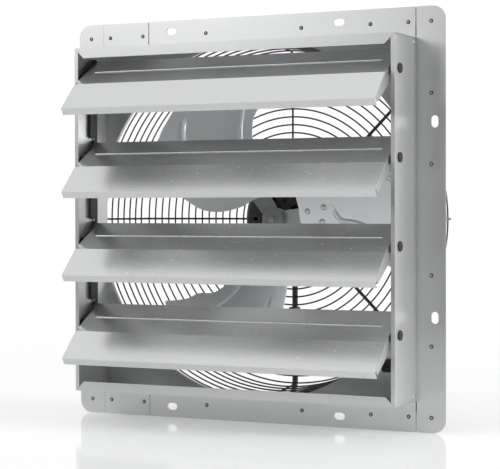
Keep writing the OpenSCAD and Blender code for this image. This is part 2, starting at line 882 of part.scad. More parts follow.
module motor_bracket() {
    color(MOTOR_GREY)
        difference() {
            sheet_y(bracket_y, bracket_t)
                difference() {
                    union() {
                        circle(bracket_out_r);
                        for (a = [45:90:315])
                            rotate(a)
                                translate([eye_at, 0])
                                    circle(bracket_ear_r);
                    }
                    circle(bracket_in_r);
                    for (a = [45:90:315])
                        rotate(a)
                            translate([eye_at, 0])
                                circle(eye_screw_r + seat_gap);
                    for (a = [bolt_angle:90:270 + bolt_angle])
                        rotate(a)
                            translate([bolt_circle_r, 0])
                                circle(bolt_r + seat_gap);
                }
        }
}

module hex_nut(y, r, bore) {
    turned_y(y)
        difference() {
            cylinder(r = r, h = nut_t, $fn = nut_sides);
            translate([0, 0, -over])
                cylinder(r = bore, h = nut_t + 2 * over);
        }
}

module bracket_screws() {
    back = eye_y + arm_r + seat_gap;
    color(BARE)
        for (a = [45:90:315])
            around(a)
                translate([eye_at, 0, 0]) {
                    screw_y(back, eye_screw_r, back - bracket_y + nut_t + seat_gap, eye_head_r, screw_head);
                    hex_nut(bracket_y - nut_t - seat_gap, nut_r, eye_screw_r + seat_gap / 2);
                }
}

// Motor

module cover_2d(l, boss_l) {
    difference() {
        union() {
            square([motor_r, l - cover_round]);
            square([motor_r - cover_round, l]);
            translate([motor_r - cover_round, l - cover_round])
                circle(cover_round);
            square([bearing_r + boss_wall, l + boss_l]);
        }
        translate([-over, -over])
            square([motor_r - cover_t + over, l - cover_round + over]);
        translate([-over, -over])
            square([motor_r - cover_round + over, l - cover_t + over]);
        translate([motor_r - cover_round, l - cover_round])
            circle(cover_round - cover_t);
    }
}

// Rim with four lugs for the motor bolts
module rim_2d() {
    difference() {
        union() {
            circle(rim_r);
            for (a = [bolt_angle:90:270 + bolt_angle])
                rotate(a)
                    translate([bolt_circle_r, 0])
                        circle(lug_r);
        }
        circle(motor_r - cover_t);
    }
}

module cover(l, boss_l) {
    difference() {
        union() {
            rotate_extrude()
                cover_2d(l, boss_l);
            cylinder(r = bearing_r + boss_wall, h = l + boss_l);
        }
        translate([0, 0, -over])
            cylinder(r = motor_r - cover_t, h = over + l + boss_l - bearing_w - cover_t - cover_round);
        translate([0, 0, -over])
            cylinder(r = bearing_r + seat_gap, h = over + l + boss_l - cover_t);
        translate([0, 0, -over])
            cylinder(r = shaft_r + shaft_hole_gap, h = 2 * over + l + boss_l);
    }
}

module motor_front_cover() {
    color(MOTOR_GREY)
        translate([0, bracket_y, 0])
            difference() {
                union() {
                    rotate([90, 0, 0])
                        cover(motor_front_len, boss_out);
                    sheet_y(-cover_t, cover_t)
                        rim_2d();
                }
                motor_bolt_holes();
                turned_y(-motor_front_len - over)
                    vents();
            }
}

module motor_rear_cover() {
    color(MOTOR_GREY)
        translate([0, bracket_y + bracket_t, 0])
            difference() {
                union() {
                    rotate([-90, 0, 0])
                        cover(motor_rear_len, boss_out);
                    sheet_y(0, cover_t)
                        rim_2d();
                }
                motor_bolt_holes();
                turned_y(motor_rear_len - cover_t - over)
                    vents();
                translate([0, lead_y - bracket_y - bracket_t, 0])
                    around(-90)
                        turned_x(motor_r - cover_t - over)
                            cylinder(r = lead_r + seat_gap, h = cover_t + 2 * over);
            }
}

module vents() {
    for (a = [0:360 / vent_count:359])
        rotate(a)
            linear_extrude(cover_t + 2 * over)
                translate([(vent_in_r + vent_out_r) / 2, 0])
                    slot(vent_out_r - vent_in_r, vent_w);
}

module motor_bolt_holes() {
    for (a = [bolt_angle:90:270 + bolt_angle])
        around(a)
            translate([bolt_circle_r, 0, 0])
                turned_y(-cover_t - over)
                    cylinder(r = bolt_r + seat_gap, h = 2 * cover_t + 2 * over);
}

module motor_bolts() {
    back = bracket_y + bracket_t + cover_t;
    color(BARE)
        for (a = [bolt_angle:90:270 + bolt_angle])
            around(a)
                translate([bolt_circle_r, 0, 0]) {
                    screw_y(back, bolt_r, 2 * cover_t + bracket_t + nut_t + seat_gap,
                        screw_head_r, screw_head);
                    hex_nut(bracket_y - cover_t - nut_t - seat_gap, screw_head_r, bolt_r + seat_gap / 2);
                }
}

module stator_core() {
    color(BARE)
        sheet_y(stack_y, stack_len)
            difference() {
                circle(stator_r);
                circle(rotor_r + air_gap);
                for (a = [0:360 / stator_slots:359])
                    rotate(a) {
                        translate([slot_at, 0])
                            circle(slot_hole_r);
                        translate([rotor_r, -slot_mouth / 2])
                            square([slot_at - rotor_r, slot_mouth]);
                    }
            }
}

module windings() {
    color(COPPER)
        for (y = [stack_y - coil_r - coil_gap, stack_y + stack_len + coil_r + coil_gap])
            guard_ring(slot_at, y, coil_r);
}

module bearing(y) {
    turned_y(y)
        difference() {
            cylinder(r = bearing_r, h = bearing_w);
            translate([0, 0, -over])
                cylinder(r = shaft_r + run_gap, h = bearing_w + 2 * over);
            for (z = [0, bearing_w])
                translate([0, 0, z])
                    rotate_extrude()
                        translate([(bearing_r + shaft_r) / 2, 0])
                            circle(bearing_w / 7);
        }
}

module front_bearing() color(BARE) bearing(motor_front_y - boss_out + cover_t + seat_gap);
module rear_bearing() color(BARE) bearing(motor_rear_y + boss_out - cover_t - seat_gap - bearing_w);

module rotor_core() {
    color(BARE)
        turned_y(stack_y)
            difference() {
                cylinder(r = rotor_r, h = stack_len);
                translate([0, 0, -over])
                    cylinder(r = shaft_r + seat_gap / 2, h = stack_len + 2 * over);
            }
}

// Fan wheel

module shaft() {
    start = hub_y - shaft_tip;
    color(BARE)
        turned_y(start)
            cylinder(r = shaft_r, h = motor_rear_y + boss_out - cover_t - start);
}

// A curved sheet t thick along the blades' hollow curve, off behind their front, cut to an outline.
// The hollow side looks forward, where the air is pushed to.
module curved_sheet(off, t, points) {
    reach = 2 * tip_r;
    back = camber_r + off + t + over;
    translate([0, blade_y, 0])
        intersection() {
            rotate([90, 0, 0])
                translate([0, 0, -tip_r])
                    linear_extrude(reach)
                        polygon(points);
            rotate([blade_pitch, 0, 0])
                translate([-reach / 2, -camber_r, 0])
                    rotate([0, 90, 0])
                        difference() {
                            cylinder(r = camber_r + off + t, h = reach);
                            translate([0, 0, -over])
                                cylinder(r = camber_r + off, h = reach + 2 * over);
                            translate([-back, -back, -over])
                                cube([2 * back, back, reach + 2 * over]);
                        }
        }
}

module at_blade(i) around(blade_angle + (i - 1) * 360 / blade_count) children();

// Places something on the front of the curved sheet, square to it, at each rivet of a blade
module at_blade_rivets() {
    for (s = RIVET_SHARES) {
        p = polar(s, tip_r);
        rise = camber_r - sqrt(pow(camber_r, 2) - pow(p[1], 2));
        w = (p[1] + rise * sin(blade_pitch)) / cos(blade_pitch);
        drop = camber_r - sqrt(pow(camber_r, 2) - pow(w, 2));
        translate([p[0], blade_y - drop * cos(blade_pitch) - w * sin(blade_pitch), p[1]])
            rotate([blade_pitch + asin(w / camber_r), 0, 0])
                children();
    }
}

module rivet_bores() {
    at_blade_rivets()
        turned_y(-blade_rivet_head)
            cylinder(r = blade_rivet_r + seat_gap, h = blade_t + hub_arm_t + 2 * blade_rivet_head);
}

module blade() {
    difference() {
        union() {
            curved_sheet(0, blade_t, outline(BLADE_SHARES, tip_r));
            curved_sheet(-blade_bead, blade_bead + blade_t / 2, outline(BEAD_SHARES, tip_r));
        }
        rivet_bores();
    }
}

module blade_1() color(LOUVRE) at_blade(1) blade();
module blade_2() color(LOUVRE) at_blade(2) blade();
module blade_3() color(LOUVRE) at_blade(3) blade();

module blade_hub() {
    color(BARE)
        difference() {
            union() {
                turned_y(hub_y)
                    rotate_extrude() {
                        square([hub_r, hub_len - hub_round]);
                        square([hub_r - hub_round, hub_len]);
                        intersection() {
                            square([hub_r, hub_len]);
                            translate([hub_r - hub_round, hub_len - hub_round])
                                circle(hub_round);
                        }
                    }
                for (i = [1:blade_count])
                    at_blade(i)
                        difference() {
                            curved_sheet(blade_t + lap_gap, hub_arm_t, outline(ARM_SHARES, tip_r));
                            rivet_bores();
                        }
            }
            turned_y(hub_y - over)
                cylinder(r = shaft_r + seat_gap / 2, h = hub_len + 2 * over);
            translate([0, hub_y + hub_len * 0.2, 0])
                cylinder(r = hub_screw_r + seat_gap, h = hub_r + over);
        }
}

module hub_screw() {
    color(BLACK)
        translate([0, hub_y + hub_len * 0.2, shaft_r + seat_gap])
            difference() {
                cylinder(r = hub_screw_r, h = hub_r - shaft_r);
                translate([0, 0, hub_r - shaft_r - hub_screw_r])
                    cylinder(r = hub_screw_r / 2, h = hub_r, $fn = nut_sides);
            }
}

module blade_rivets() {
    back = blade_t + lap_gap + hub_arm_t + seat_gap;
    color(BARE)
        for (i = [1:blade_count])
            at_blade(i)
                at_blade_rivets()
                    turned_y(0)
                        rotate_extrude()
                            polygon([[0, -blade_rivet_head], [blade_rivet_head_r / 2, -blade_rivet_head],
                                [blade_rivet_head_r, -seat_gap - blade_rivet_head / 3],
                                [blade_rivet_head_r, -seat_gap], [blade_rivet_r, -seat_gap],
                                [blade_rivet_r, back], [blade_rivet_tail_r, back],
                                [blade_rivet_tail_r, back + blade_rivet_head / 2],
                                [blade_rivet_r, back + blade_rivet_head], [0, back + blade_rivet_head]]);
}

// Cable gland in the fan panel

module cable_gland() {
    color(BLACK)
        translate([gland_x, 0, gland_z])
            difference() {
                union() {
                    turned_y(floor_y - gland_nut_t - sheet)
                        cylinder(r = gland_r, h = gland_nut_t + 2 * sheet + over);
                    turned_y(floor_back)
                        cylinder(r = gland_hex_r, h = gland_body, $fn = nut_sides);
                    turned_y(floor_back + gland_body)
                        cylinder(r1 = gland_hex_r * cos(30), r2 = gland_dome_r, h = gland_dome);
                }
                turned_y(-over)
                    cylinder(r = lead_r + seat_gap, h = floor_back + gland_body + gland_dome + 2 * over);
            }
}

module gland_nut() {
    color(BLACK)
        translate([gland_x, 0, gland_z])
            turned_y(floor_y - gland_nut_t)
                difference() {
                    cylinder(r = gland_nut_r, h = gland_nut_t, $fn = nut_sides);
                    translate([0, 0, -over])
                        cylinder(r = gland_r + seat_gap / 2, h = gland_nut_t + 2 * over);
                }
}

// Motor lead: out of the rear cover, down behind the lower spoke, forward along the guard's side,
// round it to the right and into the gland
module lead_bend() {
    rotate_extrude(angle = 90)
        translate([lead_elbow, 0])
            circle(lead_r + elbow_swell);
}

module motor_lead() {
    color(BLACK) {
        around(-90) {
            translate([lead_start, lead_y, 0])
                rotate([0, 90, 0])
                    cylinder(r = lead_r, h = lead_rho - lead_elbow - lead_start + elbow_lap);
            translate([lead_rho - lead_elbow, lead_y - lead_elbow, 0])
                lead_bend();
            translate([lead_rho, 0, 0])
                turned_y(lead_arc_y + lead_elbow - elbow_lap)
                    cylinder(r = lead_r, h = lead_y - lead_arc_y - 2 * (lead_elbow - elbow_lap));
        }
        translate([0, 0, -lead_rho])
            around(lead_angle)
                translate([lead_elbow, lead_arc_y + lead_elbow, 0])
                    rotate([0, 0, 180])
                        lead_bend();
        translate([0, lead_arc_y, 0])
            rotate([90, 0, 0])
                rotate([0, 0, lead_angle - quarter - lead_lap_angle])
                    rotate_extrude(angle = lead_leave + quarter - lead_angle + 2 * lead_lap_angle)
                        translate([lead_arc_r, 0])
                            circle(lead_r);
        around(lead_leave)
            translate([lead_arc_r, lead_arc_y, 0])
                cylinder(r = lead_r + elbow_swell / 2, h = lead_straight + elbow_lap);
        translate([gland_x, 0, gland_z]) {
            around(lead_leave + quarter)
                translate([-lead_elbow, lead_arc_y - lead_elbow, 0])
                    lead_bend();
            turned_y(lead_front_y)
                cylinder(r = lead_r, h = lead_arc_y - lead_elbow + elbow_lap - lead_front_y);
        }
    }
}

// A band round everything between two corners of the half section, tie_w wide
module tie_band(low, high) {
    frame = [tie_t, tie_t];
    translate([0, 0, -tie_w / 2])
        linear_extrude(tie_w)
            difference() {
                translate(low - frame)
                    square(high - low + 2 * frame);
                translate(low)
                    square(high - low);
            }
}

// Bands that tie the lead to the lower spoke and to a side ring
module lead_ties() {
    slack = seat_gap;
    color(BLACK) {
        for (s = TIE_SHARES)
            bar_across(guard_back_r - (floor(back_rings * s) + 0.5) * ring_pitch)
                difference() {
                    spoke_tie_2d(tie_t);
                    spoke_tie_2d(0);
                }
        around(side_tie_angle)
            tie_band([side_r(side_tie_ring) - wire_r - slack,
                min(lead_arc_y - lead_r, side_tie_ring - wire_r) - slack],
                [lead_arc_r + lead_r + slack, max(lead_arc_y + lead_r, side_tie_ring + wire_r) + slack]);
    }
}

module bar_across(r) {
    around(-90)
        bar_x(r - tie_w / 2, tie_w)
            children();
}

module spoke_tie_2d(grow) {
    low = guard_depth + wire_off(spoke_r) - spoke_r - seat_gap;
    high = lead_y + lead_r + seat_gap;
    half = lead_r + seat_gap + grow;
    translate([low - grow, -half])
        square([high - low + 2 * grow, 2 * half]);
}

left_wall();
right_wall();
top_wall();
bottom_wall();
wall_rivets();
flange_left();
flange_right();
flange_top();
flange_bottom();
splice_plates();
flange_rivets();
fan_panel();
left_bushes();
right_bushes();
louvre_1();
louvre_2();
louvre_3();
louvre_4();
pivot_pins_1();
pivot_pins_2();
pivot_pins_3();
pivot_pins_4();
crank_1();
crank_2();
crank_3();
crank_4();
bar_clip_1();
bar_clip_2();
bar_clip_3();
bar_clip_4();
tie_bar();
side_rings();
rear_rings();
guard_spokes();
guard_arms();
guard_screws();
motor_bracket();
bracket_screws();
motor_front_cover();
motor_rear_cover();
motor_bolts();
stator_core();
windings();
front_bearing();
rear_bearing();
rotor_core();
shaft();
blade_hub();
blade_1();
blade_2();
blade_3();
blade_rivets();
hub_screw();
cable_gland();
gland_nut();
motor_lead();
lead_ties();
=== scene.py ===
# %% [markdown]
# # A square exhaust fan with a gravity shutter
#
# The real object is a box of bent sheet metal with four tilting louvres, set on a wide flange. A
# wire guard behind the flange carries the motor, and the motor carries three sickle blades. The
# solids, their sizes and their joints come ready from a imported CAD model, which is loaded here as
# a fixed frame. This lesson adds what a solid model leaves out: camera, light, finishes, the
# guard's wires with their welds, the rivets, the blades' ribs and the wound copper in the motor.

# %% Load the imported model
import math

import bpy
import numpy as np
from mathutils import Matrix, Vector


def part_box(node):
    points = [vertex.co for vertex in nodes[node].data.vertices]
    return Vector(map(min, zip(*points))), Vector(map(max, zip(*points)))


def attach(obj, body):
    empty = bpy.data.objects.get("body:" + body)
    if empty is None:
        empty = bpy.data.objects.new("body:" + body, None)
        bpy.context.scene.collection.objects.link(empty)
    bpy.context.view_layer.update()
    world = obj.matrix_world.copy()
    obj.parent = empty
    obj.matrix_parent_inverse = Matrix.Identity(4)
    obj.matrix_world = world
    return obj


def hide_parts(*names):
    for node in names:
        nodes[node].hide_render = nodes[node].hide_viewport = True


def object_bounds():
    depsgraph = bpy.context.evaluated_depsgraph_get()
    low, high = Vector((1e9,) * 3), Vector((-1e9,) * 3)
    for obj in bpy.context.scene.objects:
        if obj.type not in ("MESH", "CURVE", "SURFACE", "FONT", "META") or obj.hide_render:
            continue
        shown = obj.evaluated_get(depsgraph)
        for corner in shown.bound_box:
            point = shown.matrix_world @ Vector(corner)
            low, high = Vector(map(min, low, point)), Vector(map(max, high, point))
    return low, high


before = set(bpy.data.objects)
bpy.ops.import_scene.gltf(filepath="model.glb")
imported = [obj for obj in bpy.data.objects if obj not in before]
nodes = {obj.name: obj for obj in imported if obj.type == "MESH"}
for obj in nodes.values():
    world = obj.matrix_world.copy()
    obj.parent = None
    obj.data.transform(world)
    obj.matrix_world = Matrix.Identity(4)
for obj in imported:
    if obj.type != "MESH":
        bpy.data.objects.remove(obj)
cad_low, cad_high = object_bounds()
MM = 0.001
print("nodes:", len(nodes), "box in mm:", [round(side / MM, 1) for side in cad_high - cad_low])

# %% [markdown]
# ## The camera
#
# The photograph looks at the shutter from the right through a long lens, almost level. A camera
# can be set by eye, but the places of the flange's and the box's corners are known from the CAD
# model, so the lens, the turn and the tilt were found by matching those corners. A camera looks
# along its own minus Z. It is first tipped up to the horizon and then turned about the upright
# axis.

# %% Place the camera
camera_lens = 119.84
camera_sensor = 36.0
camera_place = Vector((0.887632, -1.800799, 0.015403))
camera_turn, camera_tilt, camera_roll = 26.352, 0.956, -0.131


def turn(degrees, axis):
    return Matrix.Rotation(math.radians(degrees), 4, axis)


camera_data = bpy.data.cameras.new("camera")
camera_data.lens, camera_data.sensor_width = camera_lens, camera_sensor
camera = bpy.data.objects.new("camera", camera_data)
bpy.context.scene.collection.objects.link(camera)
camera.matrix_world = (Matrix.Translation(camera_place) @ turn(camera_turn, "Z")
                       @ turn(90 - camera_tilt, "X") @ turn(camera_roll, "Z"))
bpy.context.scene.camera = camera
print("camera distance in m:", round(camera_place.length, 3))

# %% [markdown]
# ## Nodes written as sums
#
# A finish is a small sum of patterns: so much streak, so much cloud, a few specks. Written with
# nodes alone that sum is hard to read, so a Wire stands for one output of a node, and plus, minus,
# times and divided by between wires add the Math nodes. A Tree adds every other kind of node
# through one method: the settings first, then a value or a wire for each socket.

# %% Wires
class Wire:
    """One output of a node. Sums of wires and numbers add Math nodes."""

    def __init__(self, tree, socket):
        self.tree, self.socket = tree, socket

    def maths(self, operation, *terms):
        return self.tree.node("ShaderNodeMath", {"operation": operation}, dict(enumerate(terms)))

    def __add__(self, other):
        return self.maths("ADD", self, other)

    def __sub__(self, other):
        return self.maths("SUBTRACT", self, other)

    def __rsub__(self, other):
        return self.maths("SUBTRACT", other, self)

    def __mul__(self, other):
        return self.maths("MULTIPLY", self, other)

    def __truediv__(self, other):
        return self.maths("DIVIDE", self, other)

    __radd__, __rmul__ = __add__, __mul__


print("a Wire can be added, taken away, multiplied and divided")

# %% Trees
class Tree:
    """A node tree that is filled through one method."""

    def __init__(self, tree):
        self.tree = tree

    def node(self, kind, settings=None, sockets=None, output=0):
        made = self.tree.nodes.new(kind)
        for name, value in (settings or {}).items():
            setattr(made, name, value)
        for key, value in (sockets or {}).items():
            for single in value if isinstance(value, list) else [value]:
                if isinstance(single, Wire):
                    self.tree.links.new(single.socket, made.inputs[key])
                else:
                    made.inputs[key].default_value = single
        return Wire(self, made.outputs[output]) if len(made.outputs) else made


print("a Tree adds each kind of node through its method", Tree.node.__name__)

# %% [markdown]
# ## Patterns that every finish uses
#
# The marks on sheet, coat and plastic could be painted in pictures, but noise needs no unwrapping
# and stays sharp from near by. All patterns read Object coordinates, in metres, because every
# piece's object sits at the origin and its place is in its mesh. A density is how many lumps of
# noise fit in a metre, so a low number along one axis draws the noise out into streaks along it.

# %% Noise, steps and mixes
def noise(tree, density, detail=2.0):
    """A cloudy value from 0 to 1 with so many lumps to a metre along X, Y and Z."""
    spot = tree.node("ShaderNodeTexCoord", output="Object")
    drawn = tree.node("ShaderNodeMapping", {}, {"Vector": spot, "Scale": density})
    return tree.node("ShaderNodeTexNoise", {}, {"Vector": drawn, "Scale": 1.0, "Detail": detail})


def step(tree, value, low, high):
    """A soft step from 0 below low to 1 above high."""
    return tree.node("ShaderNodeMapRange", {"interpolation_type": "SMOOTHSTEP"},
                     {"Value": value, "From Min": low, "From Max": high})


def mix(tree, share, first, second):
    """The first colour where share is 0 and the second where it is 1."""
    return tree.node("ShaderNodeMix", {"data_type": "RGBA"}, {0: share, 6: first, 7: second},
                     output=2)


def swing(value, width):
    """A noise from 0 to 1 turned into one that swings about 0, by so much from end to end."""
    return (value - 0.5) * width


streak_density = 9
print("streaks of density", streak_density, "are", round(1000 / streak_density), "mm long")

# %% Vectors and greys
def part(tree, whole, axis):
    """One part of a vector: X, Y or Z."""
    return tree.node("ShaderNodeSeparateXYZ", {}, {"Vector": whole}, output=axis)


def vector(tree, x=0.0, y=0.0, z=0.0):
    """A vector from three numbers or wires."""
    return tree.node("ShaderNodeCombineXYZ", {}, {"X": x, "Y": y, "Z": z})


def grey(value, blue=0.0):
    """A neutral colour, a little cooler where blue is above 0."""
    return (value * (1 - blue), value * (1 - blue / 3), value, 1.0)


def evenly(density):
    """The same density along all three axes."""
    return (density, density, density)


print("grey(0.8) is", grey(0.8), "and a cooler one is", grey(0.8, blue=0.03))

# %% Start and close a finish
def start_finish(name):
    """A new material and its empty tree."""
    finish = bpy.data.materials.new(name)
    finish.use_nodes = True
    finish.node_tree.nodes.clear()
    return finish, Tree(finish.node_tree)


def close_finish(tree, varied, constants, height=None, depth=0.1 * MM, strength=0.5):
    """Joins the shader. varied are the sockets that change over the surface; constants don't."""
    sockets = {**constants, **varied}
    if height is not None:
        sockets["Normal"] = tree.node("ShaderNodeBump", {}, {
            "Height": height, "Distance": depth, "Strength": strength})
    shader = tree.node("ShaderNodeBsdfPrincipled", {}, sockets)
    tree.node("ShaderNodeOutputMaterial", {}, {"Surface": shader})


print("sockets that may vary: Base Color, Roughness, Alpha and Normal")

# %% [markdown]
# ## Coated sheet metal
#
# Box, flange, panel, louvres and blades are thin rolled sheet with a satin coat. From near by it
# shows fine streaks along the rolling direction, wide soft clouds from the coating bath and a few
# darker specks. One even grey would look like plastic film. The streaks change both colour and
# roughness a little, which draws a reflection out along them. The metal value stays below 1, so
# that the sheet mirrors its surroundings and still catches soft light.

# %% Sheet finish
along_x, along_z = (streak_density, 700, 700), (700, 700, streak_density)
all_round = evenly(90)
streak_share, speck_share, speck_start, speck_full = 0.35, 0.30, 0.72, 0.80
darker, lighter, speck_tone = 0.95, 1.04, 0.45


def sheet_finish(name, tone, roll, metallic=0.80, roughness=0.34, blue=0.012):
    """Satin coated sheet: tone is its brightness and roll the density of its rolling streaks."""
    finish, tree = start_finish(name)
    streaks = noise(tree, roll, 3.0)
    clouds = noise(tree, evenly(11))
    grain = noise(tree, evenly(1500), 1.0)
    specks = step(tree, noise(tree, evenly(330), 1.0), speck_start, speck_full)
    shade = streaks * streak_share + clouds * (1 - streak_share)
    plain = mix(tree, shade, grey(tone * darker, blue), grey(tone * lighter, blue))
    colour = mix(tree, specks * speck_share, plain, grey(tone * speck_tone))
    rough = swing(streaks, 0.03) + swing(clouds, 0.08) + specks * 0.1 + roughness
    close_finish(tree, {"Base Color": colour, "Roughness": rough}, {"Metallic": metallic},
                 height=grain, depth=0.01 * MM, strength=0.06)
    return finish


level_sheet = sheet_finish("level_sheet", 0.80, along_x)
upright_sheet = sheet_finish("upright_sheet", 0.80, along_z)
panel_sheet = sheet_finish("panel_sheet", 0.66, along_x, roughness=0.42, blue=0.03)
louvre_sheet = sheet_finish("louvre_sheet", 0.68, along_x, metallic=0.74, roughness=0.24)
blade_sheet = sheet_finish("blade_sheet", 0.86, all_round, metallic=0.56, roughness=0.32,
                           blue=0.04)
hub_sheet = sheet_finish("hub_sheet", 0.36, all_round, metallic=0.6, roughness=0.40, blue=0.03)
print("sheet finishes:", sum(m.name.endswith("_sheet") for m in bpy.data.materials))

# %% [markdown]
# ## Bare metal
#
# Screws and pins are zinc plated: a bright metal with faint yellow and blue clouds. Rivets are
# dull aluminium. Ground and turned parts show rings of tool marks round the shaft, which is noise
# pressed together along Y. The motor's core is a stack of stamped sheets half a millimetre thick.
# Noise would give it uneven stripes, so they are counted off from the distance along the shaft.

# %% Plated, dull and ground metal
cloud_share = 0.6


def metal_finish(name, light, dark, roughness, roll=all_round, bump=0.2):
    """Bare metal between two colours, with fine marks drawn along roll."""
    finish, tree = start_finish(name)
    clouds = noise(tree, evenly(160))
    marks = noise(tree, roll)
    colour = mix(tree, clouds * cloud_share + marks * (1 - cloud_share), light, dark)
    rough = swing(marks, 0.2) + swing(clouds, 0.1) + roughness
    close_finish(tree, {"Base Color": colour, "Roughness": rough}, {"Metallic": 1.0},
                 height=marks, depth=0.04 * MM, strength=bump)
    return finish


zinc = metal_finish("zinc_plate", (0.78, 0.80, 0.84, 1), (0.66, 0.64, 0.52, 1), 0.28)
dull_aluminium = metal_finish("dull_aluminium", grey(0.74), grey(0.58), 0.42)
ground_steel = metal_finish("ground_steel", grey(0.70, 0.02), grey(0.56, 0.02), 0.20,
                            roll=(60, 2400, 60))
turned_steel = metal_finish("turned_steel", grey(0.52), grey(0.40), 0.34, roll=(60, 2600, 60))
spring_steel = metal_finish("spring_steel", grey(0.60, 0.04), grey(0.44, 0.04), 0.32)
# Blackened steel for the hub screw. The same near black also colours the flange rivets' heads,
# where it is painted shade for the ring of shadow round each rivet.
black_steel_and_rivet_shade = metal_finish("blackened_steel_and_rivet_shade", grey(0.10), grey(0.05), 0.38)
bare_metals = zinc, dull_aluminium, ground_steel, turned_steel, spring_steel, black_steel_and_rivet_shade
print("bare metals:", [metal.name for metal in bare_metals])

# %% Stacked motor sheets
core_sheet, seam_edge, seam_share, mark_share = 0.5 * MM, 0.3, 0.7, 0.2


def stacked_finish(name):
    """Stamped sheets stacked along Y: dark seams and a slightly different edge on each sheet."""
    finish, tree = start_finish(name)
    spot = tree.node("ShaderNodeTexCoord", output="Object")
    layer = part(tree, spot, "Y") / core_sheet
    within = layer.maths("FRACT", layer)
    seam = 1 - step(tree, within, 0.0, seam_edge) * step(tree, 1 - within, 0.0, seam_edge)
    marks = noise(tree, (200, 2000, 200), 1.0)
    colour = mix(tree, seam * seam_share + marks * mark_share, grey(0.48, 0.02), grey(0.10))
    close_finish(tree, {"Base Color": colour, "Roughness": seam * 0.25 + 0.32}, {"Metallic": 0.9},
                 height=1 - seam)
    return finish


stacked_steel = stacked_finish("stacked_steel")
print("one sheet of the core is", core_sheet / MM, "mm thick")

# %% [markdown]
# ## Black coats, moulded plastic, rubber and copper
#
# The guard and the motor are powder coated. The powder melts into a skin with a fine orange peel,
# so its bump is a soft noise of about two millimetres, under a thin clear gloss. Moulded plastic
# has a much finer spark-eroded grain and no gloss on top. A rubber sheath is matt, with a fine
# even grain. Enamelled copper is glossy under a clear brown varnish. All four are a colour that
# wanders between two tones, dust and a skin of small lumps, so one function with a few values
# makes them, where a tree for each would repeat itself.

# %% Dark and coloured finishes
dust_start, dust_full, dust_share = 0.62, 0.80, 0.5


def coat_finish(name, light, dark, roughness, peel, depth, strength, coat=0.0, metallic=0.0):
    """A coat or a plastic between two colours. peel is the density of its surface lumps."""
    finish, tree = start_finish(name)
    clouds = noise(tree, evenly(25), 3.0)
    skin = noise(tree, evenly(peel))
    dust = step(tree, noise(tree, evenly(500)), dust_start, dust_full)
    dust_tone = grey(light[0] * 2.2 + 0.01)
    colour = mix(tree, dust * dust_share, mix(tree, clouds, dark, light), dust_tone)
    rough = swing(clouds, 0.16) + dust * 0.12 + roughness
    close_finish(tree, {"Base Color": colour, "Roughness": rough},
                 {"Metallic": metallic, "Coat Weight": coat, "Coat Roughness": 0.2},
                 height=skin, depth=depth, strength=strength)
    return finish


wire_peel = 520
black_wire = coat_finish("black_wire", grey(0.022), grey(0.012), 0.38, peel=wire_peel,
                         depth=0.08 * MM, strength=0.5, coat=0.25)
motor_coat = coat_finish("motor_coat", grey(0.040), grey(0.022), 0.42, peel=480,
                         depth=0.1 * MM, strength=0.6, coat=0.2)
black_plastic = coat_finish("moulded_plastic", grey(0.030), grey(0.020), 0.46, peel=2200,
                            depth=0.05 * MM, strength=0.5)
rubber = coat_finish("rubber_sheath", grey(0.024), grey(0.016), 0.55, peel=900,
                     depth=0.05 * MM, strength=0.4)
copper = coat_finish("copper_winding", (0.62, 0.26, 0.10, 1), (0.42, 0.15, 0.05, 1), 0.30,
                     peel=700, depth=0.05 * MM, strength=0.3, coat=0.6, metallic=0.85)
print("the orange peel on the guard's wire is", round(1 / wire_peel / MM, 1), "mm wide")

# %% [markdown]
# ## Each node gets its finish
#
# A CAD node that already has the right shape is kept, and only its material slot changes. Names
# that start alike are given together.

# %% Give out the finishes
finish_of = {
    level_sheet: ("top_wall", "bottom_wall", "flange_top", "flange_bottom", "splice_plates"),
    upright_sheet: ("left_wall", "right_wall", "flange_left", "flange_right"),
    panel_sheet: ("fan_panel",),
    louvre_sheet: ("louvre_",),
    blade_sheet: ("blade_1", "blade_2", "blade_3"),
    hub_sheet: ("blade_hub",),
    dull_aluminium: ("wall_rivets", "flange_rivets", "blade_rivets"),
    zinc: ("pivot_pins_", "guard_screws", "bracket_screws", "motor_bolts"),
    spring_steel: ("bar_clip_",),
    ground_steel: ("shaft", "front_bearing", "rear_bearing"),
    turned_steel: ("rotor_core",),
    stacked_steel: ("stator_core",),
    black_steel_and_rivet_shade: ("hub_screw",),
    black_wire: ("side_rings", "rear_rings", "guard_spokes", "guard_arms"),
    motor_coat: ("motor_bracket", "motor_front_cover", "motor_rear_cover"),
    black_plastic: ("left_bushes", "right_bushes", "crank_", "tie_bar", "cable_gland",
                    "gland_nut", "lead_ties"),
    rubber: ("motor_lead",),
    copper: ("windings",),
}
dressed = []
for finish, names in finish_of.items():
    for name in [n for n in nodes if n.startswith(names)]:
        nodes[name].data.materials.clear()
        nodes[name].data.materials.append(finish)
        dressed.append(name)
print("dressed:", len(dressed), "left over:", sorted(set(nodes) - set(dressed)))

# %% [markdown]
# ## Repeats from Geometry Nodes
#
# Wires, welds, rivets, windings and ribs repeat one form by a rule. Each copy could be placed by
# hand or by a loop over mesh code. Here each family is a Geometry Nodes tree with its sizes as
# named inputs, so that one changed number changes the whole family. The tree is run once by a
# modifier on an empty mesh, and its result is kept as a plain mesh, because an export drops
# instances.

